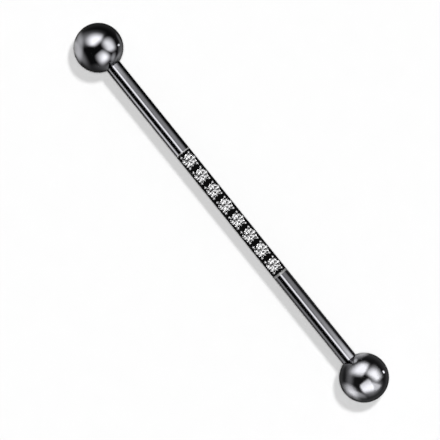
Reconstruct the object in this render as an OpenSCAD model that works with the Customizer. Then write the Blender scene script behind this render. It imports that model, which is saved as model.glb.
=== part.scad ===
// Industrial barbell: a straight bar with a ball screwed on each end and a row of
// round brilliant-cut stones bead-set in a flat milled along the middle of the bar.
// It lies along X on the surface z = 0, stones up. All sizes are in millimetres.

/* [Bar] */
// Length of the bar between its two shoulders, the wearing length
bar_length = 38; // [34:1:48]
// Diameter of the bar
bar_diameter = 1.6; // [1.5:0.05:2.4]
// Chamfer round each shoulder of the bar
shoulder_chamfer = 0.03; // [0.01:0.01:0.04]

/* [Threaded ends] */
// Step at each shoulder, from the bar in to its threaded end, a plain post here
shoulder_step = 0.06; // [0.05:0.01:0.3]
// Length of each threaded end beyond its shoulder
post_length = 2.6; // [1.6:0.1:3]
// Lead-in chamfer at the tip of each threaded end
post_chamfer = 0.15; // [0.05:0.05:0.3]
// Gap round the threaded end in its tapped hole
thread_gap = 0.03; // [0.02:0.01:0.05]
// Depth of the tapped hole beyond the tip of the threaded end
hole_spare = 0.3; // [0.1:0.1:0.6]
// Full angle of the drill point at the bottom of the tapped hole
drill_point_angle = 118; // [90:2:140]

/* [Balls] */
// Diameter of each ball
ball_diameter = 5; // [4.5:0.25:8]
// Depth that a shoulder sinks below the ball where the bar enters it
seat_depth = 0.12; // [0.08:0.01:0.3]
// Gap between a shoulder and the floor of its seat
seat_gap = 0.02; // [0.01:0.01:0.05]
// Gap round the bar in its seat
seat_side_gap = 0.04; // [0.02:0.01:0.1]
// Depth that the chamfer at the mouth of the seat reaches down its wall
mouth_chamfer = 0.06; // [0.02:0.01:0.08]

/* [Milled flat] */
// Depth of the flat below the top of the bar
flat_depth = 0.56; // [0.5:0.02:0.7]
// Distance from the middle of an end stone to the end of the flat
flat_end_margin = 0.97; // [0.9:0.01:1.2]
// Length over which the floor of the flat rises to the top of the bar
flat_run_out = 0.2; // [0.05:0.05:0.4]

/* [Stones] */
// Number of stones
stone_count = 8; // [2:1:8]
// Distance between the middles of neighbouring stones
stone_pitch = 1.92; // [1.85:0.01:2.1]
// Diameter of each stone over its girdle
stone_diameter = 1.42; // [1.2:0.02:1.46]
// Thickness of the girdle
girdle_thickness = 0.04; // [0.02:0.01:0.06]
// Slope of the eight main crown facets
crown_angle = 34.5; // [30:0.5:38]
// Slope of the eight main pavilion facets
pavilion_angle = 40.75; // [39:0.25:43]
// Width of the table over its corners, as a share of the stone's diameter
table_share = 0.56; // [0.5:0.01:0.65]
// Reach of a star facet, as a share of the way from the table to the girdle
star_share = 0.5; // [0.4:0.05:0.6]
// Reach of a lower-half facet, as a share of the way from the girdle to the point
lower_half_share = 0.77; // [0.7:0.01:0.85]
// Depth of the girdle's upper edge below the floor of the flat
stone_sink = 0.03; // [0:0.01:0.06]
// Gap between a stone and the metal of its seat
stone_gap = 0.02; // [0.01:0.01:0.04]
// Radius of the hole drilled under the point of each stone
drill_radius = 0.2; // [0.1:0.05:0.3]

/* [Beads] */
// Diameter of the beads raised from the flat to hold the stones
bead_diameter = 0.3; // [0.24:0.02:0.34]
// Height of a bead's middle above the floor of the flat
bead_rise = 0.04; // [0:0.01:0.06]
// Distance from a stone's girdle out to the middle of each of its beads
bead_stand_off = 0.125; // [0.1:0.005:0.15]
// Angle between the bar and the line from a stone's middle to a bead
bead_angle = 33; // [28:1:40]

/* [Hidden] */
$fn = 96;

bar_radius = bar_diameter / 2;
ball_radius = ball_diameter / 2;
axis_height = ball_radius;          // the balls touch z = 0
shoulder_x = bar_length / 2;
post_radius = bar_radius - shoulder_step;
// distance from a shoulder to the middle of its ball
ball_set = sqrt(ball_radius ^ 2 - bar_radius ^ 2) - seat_depth;
seam_turn = 45;                     // from the top of a ball round to its seam

flat_level = bar_radius - flat_depth;   // above the bar's axis
flat_length = (stone_count - 1) * stone_pitch + 2 * flat_end_margin;

stone_radius = stone_diameter / 2;
girdle_top = flat_level - stone_sink;
girdle_bottom = girdle_top - girdle_thickness;

// A round brilliant, from the points where its facets meet. A rise is measured up
// from the girdle's upper edge, and a drop down from its lower edge.
mains = 8;
half_turn = 180 / mains;                // from a main facet to its neighbour's edge
table_corner = table_share * stone_radius;
table_edge = table_corner * cos(half_turn);
crown_height = (stone_radius - table_corner) * tan(crown_angle);
star_tip = table_edge + star_share * (stone_radius - table_edge);
star_tip_rise = (stone_radius - star_tip * cos(half_turn)) * tan(crown_angle);
lower_tip = (1 - lower_half_share) * stone_radius;
lower_tip_drop = (stone_radius - lower_tip * cos(half_turn)) * tan(pavilion_angle);
pavilion_depth = stone_radius * tan(pavilion_angle);

bead_radius = bead_diameter / 2;
bead_distance = stone_radius + bead_stand_off;
bead_corners = [bead_angle, 180 - bead_angle, 180 + bead_angle, -bead_angle];

far = 4 * bar_diameter;                 // longer than anything that it cuts

function stone_x(i) = (i - (stone_count + 1) / 2) * stone_pitch;

// Stands a piece drawn about the bar's axis on the surface below the balls
module on_surface() {
    translate([0, 0, axis_height]) children();
}

// Turns a piece drawn about Z so that it points along X, or along -X
module along_x(side = 1) {
    rotate([0, side * 90, 0]) children();
}

// The turned blank: bar, shoulders and both threaded ends
module turned_blank() {
    tip_x = shoulder_x + post_length;
    along_x() rotate_extrude() polygon([
        [0, -tip_x],
        [post_radius - post_chamfer, -tip_x],
        [post_radius, -tip_x + post_chamfer],
        [post_radius, -shoulder_x],
        [bar_radius - shoulder_chamfer, -shoulder_x],
        [bar_radius, -shoulder_x + shoulder_chamfer],
        [bar_radius, shoulder_x - shoulder_chamfer],
        [bar_radius - shoulder_chamfer, shoulder_x],
        [post_radius, shoulder_x],
        [post_radius, tip_x - post_chamfer],
        [post_radius - post_chamfer, tip_x],
        [0, tip_x]
    ]);
}

// What the cutter takes off the top of the bar: a flat floor with a steep ramp at
// each end
module flat_cut() {
    slope = flat_run_out / flat_depth;
    top = flat_level + far;
    floor_half = flat_length / 2;
    top_half = floor_half + far * slope;
    rotate([90, 0, 0])
        linear_extrude(height = far, center = true) polygon([
            [-floor_half, flat_level],
            [floor_half, flat_level],
            [top_half, top],
            [-top_half, top]
        ]);
}

// The four beads round one stone, drawn about the stone's middle on the bar's axis
module stone_beads() {
    for (corner = bead_corners)
        rotate([0, 0, corner])
            translate([bead_distance, 0, flat_level + bead_rise])
                sphere(r = bead_radius);
}

// The room that one stone takes, a gap larger than the stone itself: a cone for the
// crown, a short wall for the girdle, a cone for the pavilion and a drilled hole
module stone_seat() {
    wall = stone_radius + stone_gap;
    seat_top = girdle_top + stone_gap * tan(crown_angle / 2);
    seat_foot = girdle_bottom - stone_gap * tan(pavilion_angle / 2);
    cone_depth = (wall - drill_radius) * tan(pavilion_angle);
    hole_depth = pavilion_depth + 2 * stone_gap;
    rotate_extrude() polygon([
        [0, girdle_bottom - hole_depth],
        [drill_radius, girdle_bottom - hole_depth],
        [drill_radius, seat_foot - cone_depth],
        [wall, seat_foot],
        [wall, seat_top],
        [star_tip + stone_gap, seat_top + star_tip_rise],
        [star_tip + stone_gap, flat_level + far],
        [0, flat_level + far]
    ]);
}

// The bar in one piece, with its milled flat, beads and stone seats
module bar() {
    color("#3c3c40") on_surface() difference() {
        union() {
            difference() {
                turned_blank();
                flat_cut();
            }
            for (i = [1 : stone_count])
                translate([stone_x(i), 0, 0]) stone_beads();
        }
        for (i = [1 : stone_count])
            translate([stone_x(i), 0, 0]) stone_seat();
    }
}

// The tapped hole, seat and mouth chamfer of a ball, drawn along Z from the shoulder
// plane at z = 0, with the bar above it and the ball's middle below
module ball_bore() {
    hole_radius = post_radius + thread_gap;
    hole_bottom = -post_length - hole_spare;
    point_depth = hole_radius / tan(drill_point_angle / 2);
    seat_radius = bar_radius + seat_side_gap;
    mouth = seat_depth - mouth_chamfer;
    mouth_reach = far + mouth_chamfer;
    rotate_extrude() polygon([
        [0, hole_bottom - point_depth],
        [hole_radius, hole_bottom],
        [hole_radius, -seat_gap],
        [seat_radius, -seat_gap],
        [seat_radius, mouth],
        [seat_radius + mouth_reach, mouth + mouth_reach],
        [0, mouth + mouth_reach]
    ]);
}

// The ball on the right-hand end of the bar. Its poles lie on the bar's axis, and the
// seam between them is turned away from the top and from the side that it rests on.
module ball() {
    color("#333337") on_surface() difference() {
        translate([shoulder_x + ball_set, 0, 0])
            along_x(-1) rotate([0, 0, seam_turn]) sphere(r = ball_radius);
        translate([shoulder_x, 0, 0]) along_x(-1) ball_bore();
    }
}

// Corners evenly spaced round Z at one height, the first of them turned by first
function ring(count, first, radius, height) = [
    for (k = [0 : count - 1])
        let (turn = first + k * 360 / count)
        [radius * cos(turn), radius * sin(turn), height]
];

// A round brilliant about Z: table, 8 stars, 8 kites and 16 upper halves over the
// girdle, then 16 lower halves and 8 pavilion mains that meet in a point
module brilliant() {
    corners = concat(
        ring(mains, 0, table_corner, girdle_top + crown_height),
        ring(mains, half_turn, star_tip, girdle_top + star_tip_rise),
        ring(2 * mains, 0, stone_radius, girdle_top),
        ring(2 * mains, 0, stone_radius, girdle_bottom),
        ring(mains, half_turn, lower_tip, girdle_bottom - lower_tip_drop),
        [[0, 0, girdle_bottom - pavilion_depth]]
    );
    // the number of each corner in that list, counted round the stone from a main facet
    function table(k) = k % mains;
    function star(k) = mains + (k + mains) % mains;
    function upper(k) = 2 * mains + k % (2 * mains);
    function lower(k) = 4 * mains + k % (2 * mains);
    function low_tip(k) = 6 * mains + (k + mains) % mains;
    point = 7 * mains;
    polyhedron(corners, concat(
        [[for (k = [mains - 1 : -1 : 0]) table(k)]],
        [for (k = [0 : mains - 1]) each [
            [table(k), table(k + 1), star(k)],
            [table(k), star(k), upper(2 * k), star(k - 1)],
            [star(k), upper(2 * k + 1), upper(2 * k)],
            [star(k), upper(2 * k + 2), upper(2 * k + 1)],
            [low_tip(k), lower(2 * k), lower(2 * k + 1)],
            [low_tip(k), lower(2 * k + 1), lower(2 * k + 2)],
            [point, low_tip(k - 1), lower(2 * k), low_tip(k)]
        ]],
        [for (k = [0 : 2 * mains - 1]) [upper(k), upper(k + 1), lower(k + 1), lower(k)]]
    ));
}

// The stone at one place in the row, counted from the left
module stone(i) {
    color("aliceblue") on_surface() translate([stone_x(i), 0, 0]) brilliant();
}

bar();
mirror([1, 0, 0]) ball();  // ball_left
ball();  // ball_right
for (i = [1 : stone_count])
    stone(i);
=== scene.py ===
import math

import bmesh
import bpy
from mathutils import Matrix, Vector


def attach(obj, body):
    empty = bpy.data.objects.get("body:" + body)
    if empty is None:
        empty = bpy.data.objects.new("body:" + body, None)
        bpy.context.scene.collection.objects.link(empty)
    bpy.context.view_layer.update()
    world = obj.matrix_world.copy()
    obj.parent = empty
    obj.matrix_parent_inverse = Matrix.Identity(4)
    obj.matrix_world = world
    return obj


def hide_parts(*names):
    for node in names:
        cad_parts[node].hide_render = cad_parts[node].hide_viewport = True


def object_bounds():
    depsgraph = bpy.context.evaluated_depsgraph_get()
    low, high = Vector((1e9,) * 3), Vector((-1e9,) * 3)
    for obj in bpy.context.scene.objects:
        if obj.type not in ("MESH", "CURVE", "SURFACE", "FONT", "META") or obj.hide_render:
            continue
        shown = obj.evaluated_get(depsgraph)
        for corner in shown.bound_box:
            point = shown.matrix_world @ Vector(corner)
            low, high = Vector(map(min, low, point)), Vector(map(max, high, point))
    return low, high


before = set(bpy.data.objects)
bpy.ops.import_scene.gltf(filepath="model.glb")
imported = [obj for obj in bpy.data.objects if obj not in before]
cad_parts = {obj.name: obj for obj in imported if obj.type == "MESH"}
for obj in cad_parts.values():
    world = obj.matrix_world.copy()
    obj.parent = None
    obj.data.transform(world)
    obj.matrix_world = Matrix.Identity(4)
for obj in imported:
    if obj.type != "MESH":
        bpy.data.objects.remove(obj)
cad_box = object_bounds()


# Camera. The photograph looks straight down on the barbell from far off, so both
# balls show at one size. The bar runs from the upper left to the lower right.
MM = 0.001                              # the scene is in metres, like the frame
IMAGE_SIDE = 440                        # pixels
PIXEL = 0.10032 * MM                    # what one pixel covers at the bar's axis
BAR_MIDDLE = (231.3, 212.7)             # pixel of the middle of the bar
BAR_SLOPE = math.radians(51.16)         # down to the right in the picture
# past 2 m the other views' cameras clip the object
CAMERA_ABOVE_BAR = 1800 * MM            # far above, so that both balls show at one size
SENSOR = 36                             # in the lens's own millimetres
CLIP = (0.1, 10)                        # metres, nearest and farthest

axis_height = (cad_box[0].z + cad_box[1].z) / 2

lens = bpy.data.cameras.new("camera")
lens.sensor_width = SENSOR
lens.lens = SENSOR * CAMERA_ABOVE_BAR / (IMAGE_SIDE * PIXEL)
lens.clip_start, lens.clip_end = CLIP
camera = bpy.data.objects.new("camera", lens)
bpy.context.scene.collection.objects.link(camera)
bpy.context.scene.camera = camera
picture_right = Vector((math.cos(BAR_SLOPE), math.sin(BAR_SLOPE), 0))
picture_up = Vector((-math.sin(BAR_SLOPE), math.cos(BAR_SLOPE), 0))
camera.location = (
    Vector((0, 0, axis_height + CAMERA_ABOVE_BAR))
    - picture_right * (BAR_MIDDLE[0] - IMAGE_SIDE / 2) * PIXEL
    - picture_up * (IMAGE_SIDE / 2 - BAR_MIDDLE[1]) * PIXEL
)
camera.rotation_euler.z = BAR_SLOPE


# The bar. One piece of surgical steel, 1.6 mm thick: drawn wire, ground between
# centreless wheels, cut down to a threaded post at each end, milled flat on top for
# the stones, whose seats and holding beads a setter cuts and raises, then plated black.
BAR_LENGTH = 38 * MM                    # between the shoulders
BAR_RADIUS = 0.8 * MM
SHOULDER_CHAMFER = 0.03 * MM
POST_RADIUS = 0.74 * MM
POST_LENGTH = 2.6 * MM
POST_CHAMFER = 0.15 * MM
THREAD_PITCH = 0.35 * MM                # a fine metric thread on 1.6 mm
THREAD_DEPTH = 0.2147 * MM
THREAD_CREST = THREAD_PITCH / 16        # half the flat left on top of each turn
THREAD_HALF_ANGLE = math.radians(30)
THREAD_RUN_OUT = 0.3 * MM
RINGS_A_TURN = 16                       # of the mesh, along one turn of thread
STONES = 8
STONE_PITCH = 1.92 * MM
STONE_RADIUS = 0.71 * MM
STONE_GAP = 0.02 * MM                   # round a stone in its seat
FLAT_ABOVE_AXIS = 0.24 * MM
FLAT_HALF_LENGTH = 7.69 * MM
FLAT_RUN_OUT = 0.08 * MM                # length of the ramp at each end of the flat
GIRDLE_BELOW_FLAT = 0.03 * MM
GIRDLE = 0.04 * MM
CROWN_SLOPE = math.radians(34.5)
PAVILION_SLOPE = math.radians(40.75)
STAR_TIP = 0.5387 * MM                  # radius where the seat opens above the girdle
DRILL_RADIUS = 0.2 * MM
BEAD_RADIUS = 0.15 * MM
BEAD_RISE = 0.04 * MM                   # of a bead's middle above the flat
BEAD_SPACING = (1.4005 * MM, 0.9095 * MM)   # four to a stone: along and across the bar

AROUND = 128                            # corners of the mesh round a turned piece
TIP_STEPS = 6                           # rings of the mesh on a post's chamfer


def turned(name, outline):
    """A closed piece turned about the bar's axis, from points (along, radius)."""
    shape = bmesh.new()
    rings = []
    for along, radius in outline:
        turns = [2 * math.pi * k / AROUND for k in range(AROUND if radius else 1)]
        rings.append([
            shape.verts.new((
                along, radius * math.cos(turn), axis_height + radius * math.sin(turn)
            ))
            for turn in turns
        ])
    for one, two in zip(rings, rings[1:]):
        for k in range(AROUND):
            corners = [one[k % len(one)], one[(k + 1) % len(one)],
                       two[(k + 1) % len(two)], two[k % len(two)]]
            shape.faces.new(list(dict.fromkeys(corners)))
    bmesh.ops.recalc_face_normals(shape, faces=shape.faces)
    return as_object(name, shape)


def as_object(name, shape):
    """The bmesh as an object at the origin."""
    mesh = bpy.data.meshes.new(name)
    shape.to_mesh(mesh)
    shape.free()
    piece = bpy.data.objects.new(name, mesh)
    bpy.context.scene.collection.objects.link(piece)
    return piece


def add(tree, kind, inputs=None, **settings):
    """Adds a node with its settings and inputs."""
    node = tree.nodes.new(kind)
    for name, value in settings.items():
        setattr(node, name, value)
    feed(tree, node, inputs or {})
    return node


def feed(tree, node, inputs):
    """Sets a node's inputs. Each is a value, or a node or an output of one to link."""
    for socket, value in inputs.items():
        if isinstance(value, bpy.types.Node):
            value = value.outputs[0]
        if isinstance(value, bpy.types.NodeSocket):
            tree.links.new(value, node.inputs[socket])
        else:
            node.inputs[socket].default_value = value


def node_group(name, inputs):
    """A Geometry Nodes tree with the named inputs, and its input and output nodes."""
    tree = bpy.data.node_groups.new(name, "GeometryNodeTree")
    tree.interface.new_socket("Geometry", in_out="INPUT", socket_type="NodeSocketGeometry")
    for label, kind in inputs.items():
        tree.interface.new_socket(label, in_out="INPUT", socket_type="NodeSocket" + kind)
    tree.interface.new_socket("Geometry", in_out="OUTPUT", socket_type="NodeSocketGeometry")
    return tree, tree.nodes.new("NodeGroupInput").outputs, tree.nodes.new("NodeGroupOutput")


def worked(piece, tree, values):
    """Runs a tree on the piece with these values, and keeps the result as its mesh."""
    modifier = piece.modifiers.new(tree.name, "NODES")
    modifier.node_group = tree
    for item in tree.interface.items_tree:
        if item.in_out == "INPUT" and item.name in values:
            modifier[item.identifier] = values[item.name]
    graph = bpy.context.evaluated_depsgraph_get()
    made = bpy.data.meshes.new_from_object(piece.evaluated_get(graph), depsgraph=graph)
    piece.modifiers.clear()
    made.name = piece.name
    piece.data = made
    return piece


def srgb(code):
    """A colour written as an sRGB hex value, as the linear one that shaders take."""
    parts = [int(code[k:k + 2], 16) / 255 for k in (1, 3, 5)]
    return (*[c / 12.92 if c <= 0.04045 else ((c + 0.055) / 1.055) ** 2.4 for c in parts], 1)


def mottled(name, grains, detail, colours):
    """A material mottled between two colours by noise of so many grains to a mm, with
    its tree, its shader, the place on the piece in mm, and the noise and colour."""
    made = bpy.data.materials.new(name)
    made.use_nodes = True
    tree = made.node_tree
    place = add(tree, "ShaderNodeTexCoord").outputs["Object"]
    in_mm = add(tree, "ShaderNodeMapping", {"Vector": place, "Scale": (1 / MM,) * 3})
    noise = add(tree, "ShaderNodeTexNoise", {
        "Vector": in_mm, "Scale": grains, "Detail": detail,
    }).outputs["Fac"]
    tint = add(tree, "ShaderNodeMix", {
        0: noise, 6: srgb(colours[0]), 7: srgb(colours[1]),
    }, data_type="RGBA").outputs[2]
    return made, tree, tree.nodes["Principled BSDF"], in_mm, noise, tint


# Black-plated steel, ground and then buffed along the bar: a dark mirror across it, and
# smeared lengthways, so that it shows the lights as long stripes. The plating's tint
# drifts over about 1.7 mm. The buffing lines are 2 mm long and 0.05 mm wide, several
# times coarser than real ones, which would not show. At each end of the flat a strip on
# top is painted paler, rougher and less metallic: a painted highlight for the light line
# that the edge of the flat shows, painted brighter at the left end than at the right.
BUFFING_LINES = (0.5, 20, 20)           # to a millimetre: along, across and up
# Painted highlights: pale strips that paint the light lines at the ends of the flat
PAINTED_END_HIGHLIGHTS = (                                # middle, width and colour of each painted highlight strip
    (-7.75, 0.14, "#b4b4b4"),           # in mm along the bar
    (7.82, 0.26, "#8a8a8a"),
)
END_HIGHLIGHT_FADE = 0.02                        # mm, half the width over which a strip fades
END_HIGHLIGHT_FOOT = (0.05, 0.15)                # mm above the axis, where a strip starts
END_HIGHLIGHT_ROUGHNESS = 0.5
END_HIGHLIGHT_METALLIC = 0.4

ground_steel, tree, shader, in_mm, _, tint = mottled(
    "black_plated_steel_buffed", 0.6, 2, ("#666669", "#6c6c6f"))
lines = add(tree, "ShaderNodeMapping", {"Vector": in_mm, "Scale": BUFFING_LINES})
grind = add(tree, "ShaderNodeTexNoise", {"Vector": lines, "Scale": 1, "Detail": 3})
rough = add(tree, "ShaderNodeMapRange", {
    "Value": grind.outputs["Fac"], "To Min": 0.16, "To Max": 0.22,
})
around = add(tree, "ShaderNodeTangent", direction_type="RADIAL", axis="X")
spot = add(tree, "ShaderNodeSeparateXYZ", {0: in_mm}).outputs
on_top = add(tree, "ShaderNodeMapRange", {
    "Value": spot["Z"], "From Min": axis_height / MM + END_HIGHLIGHT_FOOT[0],
    "From Max": axis_height / MM + END_HIGHLIGHT_FOOT[1],
})
metallic = 1
# Paints the highlight strips into the plating's colour, roughness and metallic
for middle, width, colour in PAINTED_END_HIGHLIGHTS:
    off_middle = add(tree, "ShaderNodeMath", {0: spot["X"], 1: middle}, operation="SUBTRACT")
    away = add(tree, "ShaderNodeMath", {0: off_middle}, operation="ABSOLUTE")
    in_strip = add(tree, "ShaderNodeMapRange", {
        "Value": away, "From Min": width / 2 + END_HIGHLIGHT_FADE, "From Max": width / 2 - END_HIGHLIGHT_FADE,
    })
    painted_highlight = add(tree, "ShaderNodeMath", {0: in_strip, 1: on_top}, operation="MULTIPLY")
    tint = add(tree, "ShaderNodeMix", {0: painted_highlight, 6: tint, 7: srgb(colour)},
               data_type="RGBA").outputs[2]
    rough = add(tree, "ShaderNodeMix", {0: painted_highlight, 2: rough, 3: END_HIGHLIGHT_ROUGHNESS})
    metallic = add(tree, "ShaderNodeMix", {0: painted_highlight, 2: metallic, 3: END_HIGHLIGHT_METALLIC})
feed(tree, shader, {
    "Base Color": tint, "Roughness": rough, "Metallic": metallic, "Tangent": around,
    "Anisotropic": 0.7, "Anisotropic Rotation": 0.25,
})

# The same plating on the milled floor and in the seats, where no wheel reaches: matt,
# with cutter marks 0.1 mm apart. Its near-black colour is painted shade, far darker than
# the same plating on the bar, for the sunk flat and the seats under the stones.
milled_steel_painted_shade, tree, shader, _, scrape, tint = mottled(
    "black_plated_steel_milled", 9, 3, ("#030303", "#080808"))
rough = add(tree, "ShaderNodeMapRange", {"Value": scrape, "To Min": 0.38, "To Max": 0.5})
feed(tree, shader, {"Base Color": tint, "Roughness": rough, "Metallic": 1})

# The same plating in a thread, left as the die or tap cut it: satin, so that each turn
# catches the light along its flank. Its tool marks are 0.25 mm long.
thread_steel, tree, shader, _, lathe, tint = mottled(
    "black_plated_steel_threaded", 4, 3, ("#707073", "#8c8c90"))
rough = add(tree, "ShaderNodeMapRange", {"Value": lathe, "To Min": 0.26, "To Max": 0.36})
feed(tree, shader, {"Base Color": tint, "Roughness": rough, "Metallic": 1})

# Beads burnished by the setter's beading tool, their plating rubbed to bright steel in
# patches of 0.1 mm: each shows the light overhead as a point.
bead_steel, tree, shader, _, _, tint = mottled(
    "steel_burnished_beads", 11, 3, ("#8c8c8e", "#b8b8b8"))
feed(tree, shader, {"Base Color": tint, "Roughness": 0.3, "Metallic": 1})

# The thread of post and ball. A corner on the wall is drawn in towards the axis by
# the depth of the groove where it lies, worked out along a right-hand helix.
thread, given, result = node_group("thread", {
    "Pitch": "Float", "Depth": "Float", "Crest": "Float", "Wall radius": "Float",
    "Start": "Float", "Run out": "Float", "End": "Float", "Axis height": "Float",
    "Metal": "Material",
})
place = add(thread, "ShaderNodeSeparateXYZ", {0: add(thread, "GeometryNodeInputPosition")})
up = add(thread, "ShaderNodeMath", {0: place.outputs["Z"], 1: given["Axis height"]},
         operation="SUBTRACT")
arm = add(thread, "ShaderNodeCombineXYZ", {"Y": place.outputs["Y"], "Z": up})
radius = add(thread, "ShaderNodeVectorMath", {0: arm}, operation="LENGTH").outputs["Value"]
angle = add(thread, "ShaderNodeMath", {0: up, 1: place.outputs["Y"]}, operation="ARCTAN2")
turn = add(thread, "ShaderNodeMath", {0: angle, 1: 2 * math.pi}, operation="DIVIDE")
turns_along = add(thread, "ShaderNodeMath", {0: place.outputs["X"], 1: given["Pitch"]},
                  operation="DIVIDE")
helix = add(thread, "ShaderNodeMath", {0: turns_along, 1: turn}, operation="SUBTRACT")
within_turn = add(thread, "ShaderNodeMath", {0: helix}, operation="FRACT")
from_groove = add(thread, "ShaderNodeMath", {0: within_turn, 1: 0.5}, operation="SUBTRACT")
off_groove = add(thread, "ShaderNodeMath", {0: from_groove}, operation="ABSOLUTE")
distance = add(thread, "ShaderNodeMath", {0: off_groove, 1: given["Pitch"]},
               operation="MULTIPLY")
half_pitch = add(thread, "ShaderNodeMath", {0: given["Pitch"], 1: 0.5}, operation="MULTIPLY")
flank_top = add(thread, "ShaderNodeMath", {0: half_pitch, 1: given["Crest"]},
                operation="SUBTRACT")
flank_width = add(thread, "ShaderNodeMath", {
    0: given["Depth"], 1: math.tan(THREAD_HALF_ANGLE),
}, operation="MULTIPLY")
flank_foot = add(thread, "ShaderNodeMath", {0: flank_top, 1: flank_width},
                 operation="SUBTRACT")
groove = add(thread, "ShaderNodeMapRange", {
    "Value": distance, "From Min": flank_foot, "From Max": flank_top,
    "To Min": given["Depth"], "To Max": 0.0,
})
off_middle = add(thread, "ShaderNodeMath", {0: place.outputs["X"]}, operation="ABSOLUTE")
full_depth = add(thread, "ShaderNodeMath", {0: given["Start"], 1: given["Run out"]},
                 operation="ADD")
fade = add(thread, "ShaderNodeMapRange", {
    "Value": off_middle, "From Min": given["Start"], "From Max": full_depth,
})
cut = add(thread, "ShaderNodeMath", {0: groove, 1: fade}, operation="MULTIPLY")
cut_radius = add(thread, "ShaderNodeMath", {0: given["Wall radius"], 1: cut},
                 operation="SUBTRACT")
new_radius = add(thread, "ShaderNodeMath", {0: radius, 1: cut_radius}, operation="MINIMUM")
share = add(thread, "ShaderNodeMath", {0: new_radius, 1: radius}, operation="DIVIDE")
new_arm = add(thread, "ShaderNodeVectorMath", {0: arm, 3: share}, operation="SCALE")
arm_end = add(thread, "ShaderNodeSeparateXYZ", {0: new_arm})
new_height = add(thread, "ShaderNodeMath", {0: arm_end.outputs["Z"], 1: given["Axis height"]},
                 operation="ADD")
new_place = add(thread, "ShaderNodeCombineXYZ", {
    "X": place.outputs["X"], "Y": arm_end.outputs["Y"], "Z": new_height,
})
# Only the wall is cut: corners outside its radius, as the shoulder's, are left alone
wall_and_a_hair = add(thread, "ShaderNodeMath", {0: given["Wall radius"], 1: 1.001},
                      operation="MULTIPLY")
on_wall = add(thread, "FunctionNodeCompare", {0: radius, 1: wall_and_a_hair},
              operation="LESS_THAN")
before_end = add(thread, "FunctionNodeCompare", {0: off_middle, 1: given["End"]},
                 operation="LESS_EQUAL")
threaded = add(thread, "FunctionNodeBooleanMath", {0: on_wall, 1: before_end})
cut_thread = add(thread, "GeometryNodeSetPosition", {
    "Geometry": given["Geometry"], "Selection": threaded, "Position": new_place,
})
threaded_metal = add(thread, "GeometryNodeSetMaterial", {
    "Geometry": add(thread, "GeometryNodeRealizeInstances", {0: cut_thread}),
    "Selection": threaded, "Material": given["Metal"],
})
thread.links.new(threaded_metal.outputs[0], result.inputs[0])


def steps(first, last, count):
    """Evenly spaced values from first up to last, without last."""
    return [first + (last - first) * k / count for k in range(count)]


shoulder = BAR_LENGTH / 2
tip = shoulder + POST_LENGTH
post_rings = round(POST_LENGTH / THREAD_PITCH * RINGS_A_TURN)
past_flat = FLAT_HALF_LENGTH + 1 * MM
on_chamfer = [POST_CHAMFER * k / TIP_STEPS for k in range(TIP_STEPS + 1)]
right_half = (
    [(past_flat, BAR_RADIUS), (shoulder - SHOULDER_CHAMFER, BAR_RADIUS),
     (shoulder, BAR_RADIUS - SHOULDER_CHAMFER)]
    + [(x, POST_RADIUS) for x in steps(shoulder, tip - POST_CHAMFER, post_rings)]
    + [(tip - POST_CHAMFER + cut, POST_RADIUS - cut) for cut in on_chamfer]
    + [(tip, 0)]
)
left_half = [(-x, radius) for x, radius in reversed(right_half)]
bar = turned("bar", left_half + right_half)
bar.data.materials.append(ground_steel)

# What the mill takes away, swept across the bar. Its floor gets the milled plating,
# painted near black as shade, and the ramps at its ends are buffed with the bar.
mill = bmesh.new()
deep = 4 * BAR_RADIUS                   # well clear of the bar on each side
floor_z = axis_height + FLAT_ABOVE_AXIS
ramp = FLAT_RUN_OUT / (BAR_RADIUS - FLAT_ABOVE_AXIS)
outline = [(-FLAT_HALF_LENGTH, floor_z), (FLAT_HALF_LENGTH, floor_z),
           (FLAT_HALF_LENGTH + deep * ramp, floor_z + deep),
           (-FLAT_HALF_LENGTH - deep * ramp, floor_z + deep)]
near, far = [[mill.verts.new((x, side * deep, z)) for x, z in outline] for side in (-1, 1)]
mill.faces.new(near)
mill.faces.new(far[::-1])
for k in range(4):
    mill.faces.new([near[k], far[k], far[(k + 1) % 4], near[(k + 1) % 4]])
bmesh.ops.recalc_face_normals(mill, faces=mill.faces)
milled_flat = as_object("milled_flat", mill)
milled_flat.data.materials.append(milled_steel_painted_shade)
milled_flat.data.materials.append(ground_steel)
for face in milled_flat.data.polygons:
    is_ramp = abs(face.normal.x) > 0.5   # it faces along the bar
    face.material_index = int(is_ramp)

# The room for one stone, as the setter's bur leaves it: straight above the girdle,
# a cone below it and a drilled hole under the point
seat_wall = STONE_RADIUS + STONE_GAP
girdle_top = FLAT_ABOVE_AXIS - GIRDLE_BELOW_FLAT
seat_top = girdle_top + STONE_GAP * math.tan(CROWN_SLOPE / 2)
seat_foot = girdle_top - GIRDLE - STONE_GAP * math.tan(PAVILION_SLOPE / 2)
hole_top = seat_foot - (seat_wall - DRILL_RADIUS) * math.tan(PAVILION_SLOPE)
hole_bottom = girdle_top - GIRDLE - STONE_RADIUS * math.tan(PAVILION_SLOPE) - 2 * STONE_GAP
star_flat = STAR_TIP * math.cos(math.pi / 8)   # across the eight-sided table
crown_rise = (STONE_RADIUS - star_flat) * math.tan(CROWN_SLOPE)
bur = turned("stone_seat", [
    (hole_bottom, 0), (hole_bottom, DRILL_RADIUS), (hole_top, DRILL_RADIUS),
    (seat_foot, seat_wall), (seat_top, seat_wall),
    (seat_top + crown_rise, STAR_TIP + STONE_GAP), (deep, STAR_TIP + STONE_GAP), (deep, 0),
])
# turned lies about the bar's axis, so the bur is stood upright about that axis
for corner in bur.data.vertices:
    x, y, z = corner.co
    corner.co = (axis_height - z, y, axis_height + x)
# The seats take the milled plating, painted near black as shade
bur.data.materials.append(milled_steel_painted_shade)

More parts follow.
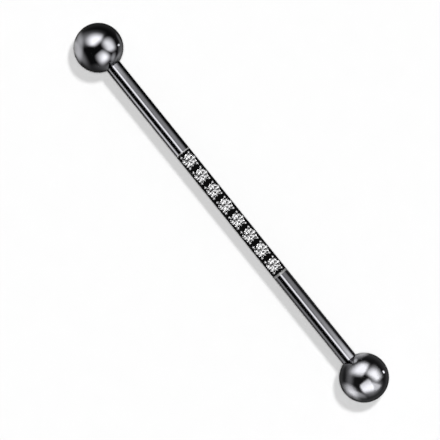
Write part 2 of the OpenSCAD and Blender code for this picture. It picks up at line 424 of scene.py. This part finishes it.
# The setting: the flat is milled, four beads are raised round each place in the row,
# and a seat is sunk at each.
setting, given, result = node_group("setting", {
    "Mill": "Object", "Bur": "Object", "Stones": "Int", "Pitch": "Float",
    "Bead radius": "Float", "Beads along": "Float", "Beads across": "Float",
    "Bead height": "Float", "Bead metal": "Material",
})
mill_shape = add(setting, "GeometryNodeObjectInfo", {0: given["Mill"]})
milled = add(setting, "GeometryNodeMeshBoolean", {
    "Mesh 1": given["Geometry"], "Mesh 2": mill_shape.outputs["Geometry"],
}, operation="DIFFERENCE", solver="EXACT")
gaps = add(setting, "ShaderNodeMath", {0: given["Stones"], 1: 1}, operation="SUBTRACT")
row_length = add(setting, "ShaderNodeMath", {0: gaps, 1: given["Pitch"]}, operation="MULTIPLY")
first = add(setting, "ShaderNodeMath", {0: row_length, 1: -0.5}, operation="MULTIPLY")
row = add(setting, "GeometryNodeMeshLine", {
    "Count": given["Stones"],
    "Start Location": add(setting, "ShaderNodeCombineXYZ", {"X": first}),
    "Offset": add(setting, "ShaderNodeCombineXYZ", {"X": given["Pitch"]}),
})
corners = add(setting, "GeometryNodeMeshGrid", {
    "Size X": given["Beads along"], "Size Y": given["Beads across"],
    "Vertices X": 2, "Vertices Y": 2,
})
bead = add(setting, "GeometryNodeMeshUVSphere", {
    "Segments": 32, "Rings": 16, "Radius": given["Bead radius"],
})
four_beads = add(setting, "GeometryNodeInstanceOnPoints", {"Points": corners, "Instance": bead})
lifted = add(setting, "GeometryNodeTransform", {
    "Geometry": four_beads,
    "Translation": add(setting, "ShaderNodeCombineXYZ", {"Z": given["Bead height"]}),
})
all_beads = add(setting, "GeometryNodeInstanceOnPoints", {"Points": row, "Instance": lifted})
bead_metal = add(setting, "GeometryNodeSetMaterial", {
    "Geometry": add(setting, "GeometryNodeRealizeInstances", {0: all_beads}),
    "Material": given["Bead metal"],
})
beaded = add(setting, "GeometryNodeMeshBoolean", {1: bead_metal}, operation="UNION",
             solver="EXACT")
setting.links.new(milled.outputs[0], beaded.inputs["Mesh 2"])
bur_shape = add(setting, "GeometryNodeObjectInfo", {0: given["Bur"]})
all_seats = add(setting, "GeometryNodeInstanceOnPoints", {
    "Points": row, "Instance": bur_shape.outputs["Geometry"],
})
sunk = add(setting, "GeometryNodeMeshBoolean", {
    "Mesh 1": beaded, "Mesh 2": add(setting, "GeometryNodeRealizeInstances", {0: all_seats}),
}, operation="DIFFERENCE", solver="EXACT")
whole = add(setting, "GeometryNodeRealizeInstances", {0: sunk})
setting.links.new(whole.outputs[0], result.inputs[0])

worked(bar, thread, {
    "Pitch": THREAD_PITCH, "Depth": THREAD_DEPTH, "Crest": THREAD_CREST,
    "Wall radius": POST_RADIUS, "Start": shoulder, "Run out": THREAD_RUN_OUT,
    "End": tip, "Axis height": axis_height, "Metal": thread_steel,
})
worked(bar, setting, {
    "Mill": milled_flat, "Bur": bur, "Stones": STONES, "Pitch": STONE_PITCH,
    "Bead radius": BEAD_RADIUS, "Beads along": BEAD_SPACING[0],
    "Beads across": BEAD_SPACING[1], "Bead height": floor_z + BEAD_RISE,
    "Bead metal": bead_steel,
})
for tool in (milled_flat, bur):
    bpy.data.objects.remove(tool)


def smoothed(piece, crease=30):
    """Shades the piece smooth, but for edges that bend by more than crease degrees."""
    piece.data.shade_smooth()
    piece.data.set_sharp_from_angle(angle=math.radians(crease))


smoothed(bar)
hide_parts("bar")
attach(bar, "bar")


# The stones. Eight round brilliants of cubic zirconia, cut and polished by machine and
# held by the beads. Their solids have every facet flat, so they keep their own shape.
ZIRCONIA_IOR = 2.16

# Polished cubic zirconia: clear and colourless, with a trace of cloud about 0.8 mm
# across, and so dense that its facets throw the light back as points.
zirconia, tree, shader, _, _, tint = mottled(
    "cubic_zirconia_polished", 1.2, 2, ("#f4f4f6", "#ffffff"))
feed(tree, shader, {
    "Base Color": tint, "Transmission Weight": 1, "IOR": ZIRCONIA_IOR, "Roughness": 0,
})
stones = [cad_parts[f"stone_{k + 1}"] for k in range(STONES)]
for stone in stones:
    for slot in stone.material_slots:
        slot.material = zirconia


# The balls. Two 5 mm balls of the same steel, turned, bored and tapped from one side
# and polished before the black plating, so that they mirror the studio sharply.
BALL_RADIUS = 2.5 * MM
BALL_SET = 2.2485 * MM                  # from the shoulder to the ball's middle
BORE_RADIUS = 0.77 * MM
BORE_DEPTH = 2.9 * MM                   # beyond the shoulder
DRILL_HALF_POINT = math.radians(59)
SEAT_GAP = 0.02 * MM                    # from the shoulder to the floor of its seat
SEAT_RADIUS = 0.84 * MM
SEAT_EDGE = -0.06 * MM                  # where the seat starts to open, from the shoulder
BALL_THREAD_DEPTH = 0.19 * MM
BALL_THREAD_CREST = 0.0419 * MM
MOUTH_CHAMFER = 0.034 * MM              # at 45 degrees, out to the ball's surface
ARC_STEPS = 96                          # rings of the mesh from mouth to far side

# The same black plating over a polished ball: a dark mirror with soft edges, its tint
# and polish drifting over about 2 mm.
polished_steel, tree, shader, _, bloom, tint = mottled(
    "black_plated_steel_polished", 0.5, 2, ("#666669", "#6c6c6f"))
rough = add(tree, "ShaderNodeMapRange", {"Value": bloom, "To Min": 0.05, "To Max": 0.08})
feed(tree, shader, {"Base Color": tint, "Roughness": rough, "Metallic": 1})

mouth = (shoulder + SEAT_EDGE - MOUTH_CHAMFER, SEAT_RADIUS + MOUTH_CHAMFER)
first_turn = math.atan2(mouth[1], shoulder + BALL_SET - mouth[0])
bore_rings = round((BORE_DEPTH - SEAT_GAP) / THREAD_PITCH * RINGS_A_TURN)
ball_outline = (
    [(shoulder + BORE_DEPTH + BORE_RADIUS / math.tan(DRILL_HALF_POINT), 0)]
    + [(x, BORE_RADIUS) for x in steps(shoulder + BORE_DEPTH, shoulder + SEAT_GAP, bore_rings)]
    + [(shoulder + SEAT_GAP, BORE_RADIUS), (shoulder + SEAT_GAP, SEAT_RADIUS),
       (shoulder + SEAT_EDGE, SEAT_RADIUS), mouth]
    + [(shoulder + BALL_SET - BALL_RADIUS * math.cos(turn), BALL_RADIUS * math.sin(turn))
       for turn in steps(first_turn, math.pi, ARC_STEPS)[1:]]
    + [(shoulder + BALL_SET + BALL_RADIUS, 0)]
)
balls = []
for name, side in (("ball_left", -1), ("ball_right", 1)):
    ball = turned(name, [(side * x, radius) for x, radius in ball_outline])
    ball.data.materials.append(polished_steel)
    worked(ball, thread, {
        "Pitch": THREAD_PITCH, "Depth": BALL_THREAD_DEPTH, "Crest": BALL_THREAD_CREST,
        "Wall radius": BORE_RADIUS, "Start": shoulder + SEAT_GAP, "Run out": THREAD_RUN_OUT,
        "End": shoulder + BORE_DEPTH, "Axis height": axis_height, "Metal": thread_steel,
    })
    smoothed(ball)
    balls.append(ball)
    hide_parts(name)
    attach(ball, name)


# The studio. A white sheet that the barbell lies on, under a soft light overhead and
# one from the upper right of the picture, which throws the shadow that shows. What the
# metal and the stones mirror is a dark room with white panels, set up for each alone.
SHEET_SIDE = 4                          # metres
SHEET_GAP = 0.01 * MM                   # below the balls

sheet_shape = bmesh.new()
bmesh.ops.create_grid(sheet_shape, x_segments=1, y_segments=1, size=SHEET_SIDE / 2)
for corner in sheet_shape.verts:
    corner.co.z = cad_box[0].z - SHEET_GAP
sheet = as_object("white_sheet", sheet_shape)
sheet.visible_glossy = False

# Matt white card: even and without gloss, clouded by its fibres over 2.5 mm.
card, tree, shader, _, _, tint = mottled("white_card_matt", 0.4, 2, ("#e6e6e6", "#e8e8e8"))
feed(tree, shader, {"Base Color": tint, "Roughness": 1, "Specular IOR Level": 0})
sheet.data.materials.append(card)

# Each light: irradiance in W/m2, the way to it, and how wide it is in degrees
for name, irradiance, toward, spread in (
    ("overhead_light", 2.12, (0, 0, 1), 6),
    ("key_light", 1.51, (-0.126, 0.357, 0.926), 7),
):
    light = bpy.data.lights.new(name, "SUN")
    light.energy = irradiance
    light.angle = math.radians(spread)
    lamp = bpy.data.objects.new(name, light)
    lamp.rotation_euler = Vector(toward).to_track_quat("Z", "Y").to_euler()
    lamp.visible_glossy = lamp.visible_transmission = False
    bpy.context.scene.collection.objects.link(lamp)

# The room beyond shows white, and gives the sheet a little light from all sides. It
# gives none to the metal and the stones, which have their own rooms.
ROOM_TO_MATT = 0.122
world = bpy.data.worlds.new("studio")
bpy.context.scene.world = world
world.use_nodes = True
world.cycles.sampling_method = "NONE"
tree = world.node_tree
rays = add(tree, "ShaderNodeLightPath")
to_matt = add(tree, "ShaderNodeMath", {0: rays.outputs["Is Diffuse Ray"], 1: ROOM_TO_MATT},
              operation="MULTIPLY")
to_eye = add(tree, "ShaderNodeMath", {0: rays.outputs["Is Camera Ray"], 1: to_matt},
             operation="ADD")
feed(tree, tree.nodes["Background"], {"Color": srgb("#ffffff"), "Strength": to_eye})
bpy.context.scene.view_settings.view_transform = "Standard"

# A panel is placed where it shows on a ball seen from above, as a disc of radius 1 with
# x along the bar: middle x and y, turn in degrees, two radii, softness of the edge and
# radiance, then straight cuts by heading in degrees, distance from the disc's middle
# and softness. A room is its dark, the glow near the rim and where that starts.
# On each ball three big soft panels overhead meet in a dark cross, paler cards stand
# low around, and one small lamp shows as a point.
# The balls' rows and the dark of their rooms were not chosen by hand: a least-squares
# program fitted them to the photograph's pixels. Set one by one are the last row of each
# ball, the softness and radiance of the small lamp, and the rooms' glow and its start.
LEFT_BALL_ROOM = (0.023, 0.07, 0.74)
LEFT_BALL_PANELS = (
    (-0.155, 0.122, 36, 0.371, 0.277, 0.61, 7.39,
     1, -0.174, 0.128, -47, -0.016, 0.076, 40, 0.098, 0.083),
    (0.533, -0.1, -49, 0.814, 0.411, 0.21, 5.36,
     -101, -0.252, 0.153, -65, -0.051, 0.056, -12, 0.34, 0.114),
    (0.85, 0.159, 29, 0.628, 0.335, 0.42, 7.77,
     181, -0.145, 0.04, 83, 0.162, 0.147, 2, 0.596, 0.138),
    (-0.74, -0.711, -2, 0.9, 0.179, 0.43, 1.39, 75, -0.65, 0.21),
    (-0.483, -0.575, 139, 0.455, 0.117, 0.7, 1.46),
    (0.424, 0.704, 1, 0.034, 0.039, 0.6, 5),
    (0.877, 0.451, -38, 0.608, 0.106, 0.43, 0.45),
    (0.677, 0.214, -55, 0.15, 0.064, 0.99, 1.72),
    (-0.534, -0.101, 66, 0.416, 0.185, 0.99, 1.21),
    (1.05, 0.078, -130, 0.619, 0.113, 0.99, 0.63),
    (0.212, 0.868, -12, 0.184, 0.035, 0.76, 0.38),
    (0.774, 0.35, -68, 0.163, 0.04, 0.99, 0.86),
    (0.88, 0, 90, 0.2, 0.08, 0.9, 0.2),
)
RIGHT_BALL_ROOM = (0.048, 0.14, 0.74)
RIGHT_BALL_PANELS = (
    (-0.135, 0.357, 63, 0.663, 0.331, 0.35, 6.66,
     21, -0.087, 0.068, -41, -0.119, 0.159, 106, 0.499, 0.148),
    (0.154, 0.31, -7, 0.538, 0.269, 0.58, 6.68,
     -187, 0.13, 0.215, -74, -0.201, 0.117, 1, 0.433, 0.095),
    (0.319, -0.132, -10, 0.407, 0.238, 0.21, 5.47,
     180, -0.121, 0.044, 157, -0.162, 0.312, -25, 0.575, 0.106),
    (0.172, -0.684, 14, 0.356, 0.142, 0.7, 3.39, 68, -0.46, 0.171),
    (0.462, -0.008, 85, 0.36, 0.269, 0.58, 1.51),
    (0.316, 0.752, -2, 0.047, 0.033, 0.6, 8),
    (-0.747, 0.15, 104, 0.079, 0.048, 0.99, 2.54),
    (-0.766, 1.03, 85, 0.566, 0.12, 0.99, 2.98),
    (-0.46, -0.368, -42, 0.9, 0.113, 0.99, 0.67),
    (0.499, 0.256, 30, 0.179, 0.282, 0.28, 2.43, 125, -0.089, 0.056),
    (0.349, -0.636, 31, 0.306, 0.099, 0.56, 5.98, -56, 0.541, 0.5),
    (-0.9, 0, 90, 0.3, 0.08, 0.9, 0.3),
)
# The bar mirrors a narrow bright panel along its top, and broad dim ones to both sides.
# Its rows, and those of its ends, were set one by one.
BAR_ROOM = (0.005, 0.02, 0.9)
BAR_PANELS = (
    (0, -0.045, -7, 1.2, 0.092, 0.5, 6, 0, 0.4, 0.12, 180, 0.4, 0.12),
    (0, 0.33, 0, 0.9, 0.25, 0.55, 0.92),
    (0.21, 0.33, 0, 0.06, 0.24, 0.5, 1.7),
    (-0.08, 0.33, 0, 0.03, 0.24, 0.5, 0.9),
    (-0.12, -0.675, 0, 0.1, 0.094, 0.65, 4.2),
    (0.35, -0.678, 0, 0.4, 0.098, 0.6, 1.25),
    (0, -0.92, 0, 0.6, 0.1, 0.6, 0.32),
    (0.35, 0.9, 0, 0.4, 0.1, 0.6, 0.17),
)
# Close by, a panel past each end lights the bar's last millimetres by the balls
BAR_END_ROOM = (0, 0, 0.9)
BAR_END_PANELS = (
    (-0.54, 0.12, 0, 0.1, 0.17, 0.5, 3.6),
    (0.51, 0.16, 0, 0.09, 0.23, 0.45, 2.6),
)
# The stones mirror small lamps around the camera, each of which shows in a few facets.
# All 30 rows and the room's dark were fitted by a program to the photograph's average
# stone, with every radiance then raised by 15 per cent.
STONE_ROOM = (0.001, 0.05, 0.8)
STONE_PANELS = (
    (-0.1, 0.106, 21, 0.032, 0.033, 0.4, 1.97),
    (-0.355, 0.183, 1, 0.063, 0.039, 0.46, 11.5),
    (-0.325, -0.266, 4, 0.076, 0.052, 0.44, 11.5),
    (0.029, 0.031, -68, 0.031, 0.036, 0.29, 1.08),
    (0.426, -0.46, 0, 0.052, 0.055, 0.49, 11.4),
    (0.307, 0.096, -12, 0.043, 0.062, 0.39, 9.22),
    (0.346, -0.087, 3, 0.074, 0.047, 0.43, 11.4),
    (-0.084, -0.177, -4, 0.039, 0.031, 0.57, 2.09),
    (0.318, 0.513, 26, 0.045, 0.079, 0.44, 11.5),
    (0.241, -0.282, -3, 0.063, 0.031, 0.37, 11.5),
    (-0.128, -0.059, -27, 0.052, 0.038, 0.48, 1.18),
    (-0.202, 0.058, -8, 0.039, 0.03, 0.46, 3.3),
    (0.123, -0.161, 9, 0.038, 0.032, 0.36, 2.24),
    (-0.079, 0.183, 14, 0.035, 0.039, 0.42, 3.12),
    (0.026, -0.029, -12, 0.03, 0.033, 0.33, 1.08),
    (0.081, 0.133, 16, 0.076, 0.046, 0.46, 0.782),
    (-0.588, -0.11, -2, 0.054, 0.031, 0.45, 11.5),
    (-0.423, 0.281, 5, 0.054, 0.067, 0.37, 11.5),
    (-0.264, -0.192, -8, 0.035, 0.061, 0.49, 4.97),
    (-0.043, 0.035, -3, 0.051, 0.03, 0.42, 0.931),
    (-0.261, 0.418, -2, 0.058, 0.046, 0.49, 11.5),
    (0.364, 0.093, -7, 0.035, 0.04, 0.49, 11.4),
    (-0.115, 0.069, 0, 0.035, 0.034, 0.36, 1.85),
    (-0.056, 0.381, -7, 0.067, 0.046, 0.41, 5.32),
    (0.173, 0.572, 20, 0.097, 0.057, 0.35, 11.5),
    (0.19, -0.325, -2, 0.044, 0.086, 0.49, 4.91),
    (0.32, 0.48, -12, 0.119, 0.071, 0.46, 4.28),
    (-0.048, -0.085, 8, 0.034, 0.033, 0.41, 1.56),
    (0.054, 0.218, -17, 0.034, 0.034, 0.41, 1.29),
    (-0.14, -0.561, -15, 0.109, 0.117, 0.49, 2.18),
)

UNDER_START = 0.92                      # on the disc: past this, light from below
UNDER_SHARE = 0.15                      # what the white sheet leaves of it at the rim
STRAIGHT_UP = (0, 0, 1)


def studio(name, pieces, middle, radius, room, panels):
    """A dome of panels round the middle that nothing but these pieces mirrors."""
    shape = bmesh.new()
    bmesh.ops.create_icosphere(shape, subdivisions=4, radius=radius)
    bmesh.ops.translate(shape, verts=shape.verts, vec=middle)
    dome = as_object(name, shape)
    for kind in ("camera", "diffuse", "shadow", "volume_scatter"):
        setattr(dome, "visible_" + kind, False)
    mirrors = bpy.data.collections.new(name)
    for piece in pieces:
        mirrors.objects.link(piece)
    dome.light_linking.receiver_collection = mirrors

    light = bpy.data.materials.new(name)
    light.use_nodes = True
    light.cycles.emission_sampling = "NONE"
    tree = light.node_tree
    tree.nodes.remove(tree.nodes["Principled BSDF"])
    place = add(tree, "ShaderNodeTexCoord").outputs["Object"]
    arm = add(tree, "ShaderNodeVectorMath", {0: place, 1: middle}, operation="SUBTRACT")
    heading = add(tree, "ShaderNodeVectorMath", {0: arm}, operation="NORMALIZE")
    half_way = add(tree, "ShaderNodeVectorMath", {0: heading, 1: STRAIGHT_UP}, operation="ADD")
    facing = add(tree, "ShaderNodeVectorMath", {0: half_way}, operation="NORMALIZE")
    disc = add(tree, "ShaderNodeVectorMath", {0: facing, 1: (1, 1, 0)}, operation="MULTIPLY")
    out = add(tree, "ShaderNodeVectorMath", {0: disc}, operation="LENGTH").outputs["Value"]
    dark, glow, start = room
    total = add(tree, "ShaderNodeMapRange", {
        "Value": out, "From Min": start, "From Max": 1, "To Min": dark, "To Max": dark + glow,
    }, interpolation_type="SMOOTHSTEP")
    for x, y, turn, wide, high, softness, radiance, *cuts in panels:
        placed = add(tree, "ShaderNodeMapping", {
            "Vector": disc, "Location": (x, y, 0), "Rotation": (0, 0, math.radians(turn)),
            "Scale": (wide, high, 1),
        }, vector_type="TEXTURE")
        away = add(tree, "ShaderNodeVectorMath", {0: placed}, operation="LENGTH")
        panel = add(tree, "ShaderNodeMapRange", {
            "Value": away.outputs["Value"], "From Min": 1 + softness,
            "From Max": 1 - softness, "To Min": 0.0, "To Max": radiance,
        }, interpolation_type="SMOOTHSTEP")
        for degrees, distance, blur in zip(cuts[::3], cuts[1::3], cuts[2::3]):
            angle = math.radians(degrees)
            across = add(tree, "ShaderNodeVectorMath", {
                0: disc, 1: (math.cos(angle), math.sin(angle), 0),
            }, operation="DOT_PRODUCT")
            inside = add(tree, "ShaderNodeMapRange", {
                "Value": across.outputs["Value"], "From Min": distance + blur,
                "From Max": distance - blur,
            }, interpolation_type="SMOOTHSTEP")
            panel = add(tree, "ShaderNodeMath", {0: panel, 1: inside}, operation="MULTIPLY")
        total = add(tree, "ShaderNodeMath", {0: total, 1: panel}, operation="ADD")
    under = add(tree, "ShaderNodeMapRange", {
        "Value": out, "From Min": UNDER_START, "From Max": 1, "To Min": 1,
        "To Max": UNDER_SHARE,
    })
    total = add(tree, "ShaderNodeMath", {0: total, 1: under}, operation="MULTIPLY")
    lit = add(tree, "ShaderNodeEmission", {"Strength": total})
    clear = add(tree, "ShaderNodeBsdfTransparent")
    both = add(tree, "ShaderNodeAddShader", {0: lit, 1: clear})
    feed(tree, tree.nodes["Material Output"], {"Surface": both})
    dome.data.materials.append(light)


bar_middle = Vector((0, 0, axis_height))
ball_off = Vector((shoulder + BALL_SET, 0, 0))
# Far domes look the same from all of a piece, and the bar's near ones slide along it.
# No two have one radius, because surfaces at the same place would hide each other.
for name, pieces, middle, radius, room, panels in (
    ("studio_left_ball", balls[:1], bar_middle - ball_off, 3000 * MM,
     LEFT_BALL_ROOM, LEFT_BALL_PANELS),
    ("studio_right_ball", balls[1:], bar_middle + ball_off, 3100 * MM,
     RIGHT_BALL_ROOM, RIGHT_BALL_PANELS),
    ("studio_bar", [bar], bar_middle, 60 * MM, BAR_ROOM, BAR_PANELS),
    ("studio_bar_ends", [bar], bar_middle, 24.3 * MM, BAR_END_ROOM, BAR_END_PANELS),
    ("studio_stones", stones, bar_middle, 3300 * MM, STONE_ROOM, STONE_PANELS),
):
    studio(name, pieces, middle, radius, room, panels)
